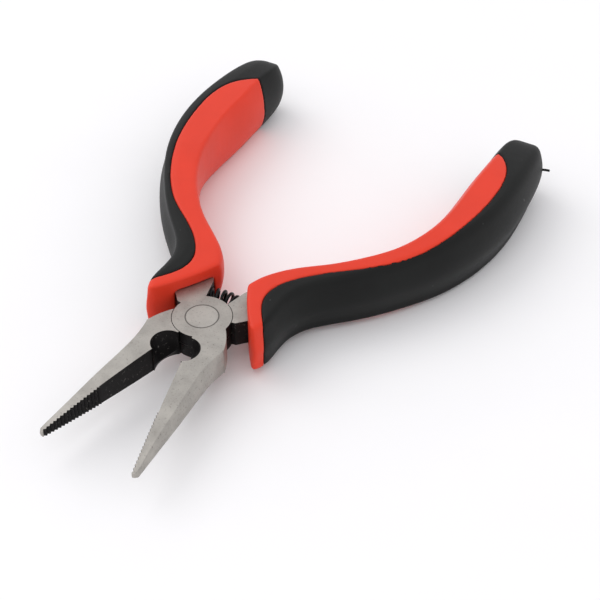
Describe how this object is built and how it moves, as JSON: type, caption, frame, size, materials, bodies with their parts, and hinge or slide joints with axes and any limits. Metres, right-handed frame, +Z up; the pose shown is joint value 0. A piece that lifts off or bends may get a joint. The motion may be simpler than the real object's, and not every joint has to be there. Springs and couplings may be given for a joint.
{
  "type": "needle nose pliers",
  "caption": "Small long-nose pliers with side cutters, serrated tapering jaws on a riveted lap joint, a coil return spring and curved two-tone moulded grips.",
  "frame": {"origin": "on the surface the tool lies on, under the middle of its overall length and width at rest", "axes": "+Y from the jaw tips towards the handles, along the tool's centre line; +Z up, along the rivet, out of the side the cutters are ground from; +X to the side of the grip on the lower half"},
  "size_m": [0.0894, 0.1338, 0.0165],
  "materials": {
    "steel": "satin, bead blasted",
    "rivet_steel": "satin, ground flush",
    "spring_steel": "blackened",
    "grip_core": "satin moulded",
    "grip_cover": "fine matt"
  },
  "bodies": {
    "lower_side": {"lower_jaw_half": "steel", "pivot_rivet": "rivet_steel", "return_spring": "spring_steel", "right_grip_core": "grip_core", "right_grip_cover": "grip_cover"},
    "upper_side": {"upper_jaw_half": "steel", "left_grip_core": "grip_core", "left_grip_cover": "grip_cover"}
  },
  "joints": [
    {"name": "pivot", "type": "hinge", "parent": "lower_side", "child": "upper_side", "pos_m": [0, -0.02454, 0.00825], "axis": [0, 0, 1], "range_deg": [-28.4, 17], "stiffness_Nm_per_rad": 0.6, "deforming": ["return_spring"]}
  ]
}
